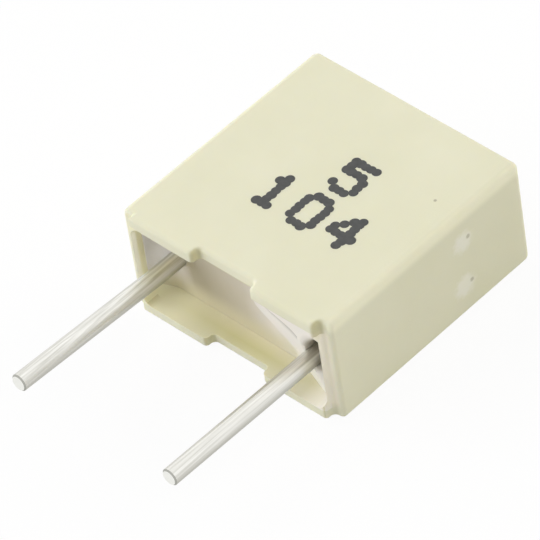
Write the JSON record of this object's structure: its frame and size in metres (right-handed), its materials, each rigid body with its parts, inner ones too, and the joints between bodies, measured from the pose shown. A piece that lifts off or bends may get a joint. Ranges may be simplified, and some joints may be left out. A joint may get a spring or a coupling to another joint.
{
  "type": "boxed film capacitor",
  "caption": "Boxed film capacitor: a moulded ivory case, sealed with resin at its open end, with parallel tinned wire leads, lying on its plain broad face.",
  "frame": {"origin": "middle of the case's plain broad face, on which it lies", "axes": "+X across the width of the case, from the left lead to the right lead; +Y from the leads to the closed end; +Z through the thickness, out of the printed broad face"},
  "size_m": [0.0072, 0.0126, 0.0035],
  "materials": {
    "moulded_plastic": "satin ivory, finely textured",
    "epoxy_resin": "cured resin, smooth",
    "metallised_film": "metallised polyester film",
    "sprayed_zinc": "rough sprayed metal",
    "tinned_wire": "bright tin plating"
  },
  "bodies": {
    "root": {"case": "moulded_plastic", "resin_seal": "epoxy_resin", "film_winding": "metallised_film", "end_contact_left": "sprayed_zinc", "end_contact_right": "sprayed_zinc", "lead_left": "tinned_wire", "lead_right": "tinned_wire"}
  },
  "joints": []
}
